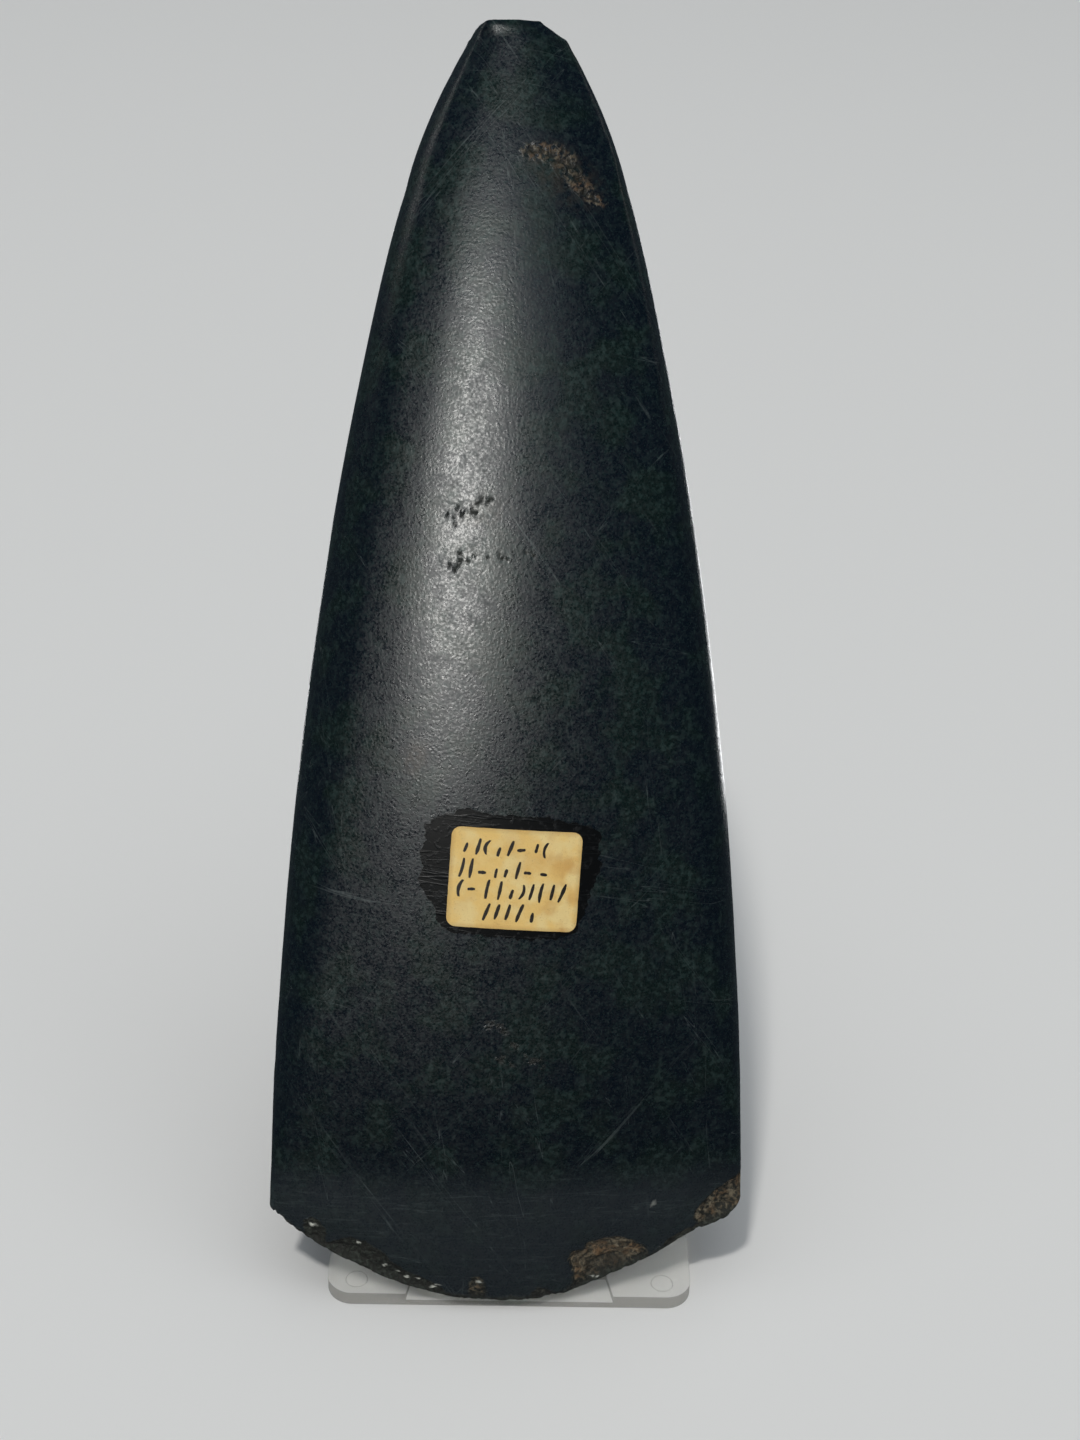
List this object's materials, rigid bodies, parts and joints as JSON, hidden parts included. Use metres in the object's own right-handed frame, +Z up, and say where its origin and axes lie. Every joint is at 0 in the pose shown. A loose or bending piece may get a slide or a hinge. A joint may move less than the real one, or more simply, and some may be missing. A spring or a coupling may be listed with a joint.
{
  "type": "polished stone axe head on a stand",
  "caption": "Dark polished stone axe head with a blunt curved edge and narrow butt, leaning upright on a clear moulded stand, with an old paper label on its face.",
  "frame": {"origin": "middle of the underside of the stand's foot, on the surface that it stands on", "axes": "+Z up, -Y towards the front, where the label and the cutting edge are, +X to the right seen from the front"},
  "size_m": [0.0915, 0.1047, 0.2256],
  "materials": {
    "polished_stone": "satin polish, blue-black with dark green mottling, fine scratches, pits and dull brown chips",
    "aged_paper": "matt yellowed paper with rows of dark ink strokes",
    "clear_plastic": "clear moulded plastic, glossy, with a faint grey-brown tint at its cut edges"
  },
  "bodies": {
    "root": {"axe_head": "polished_stone", "paper_label": "aged_paper", "display_stand": "clear_plastic"}
  },
  "joints": []
}
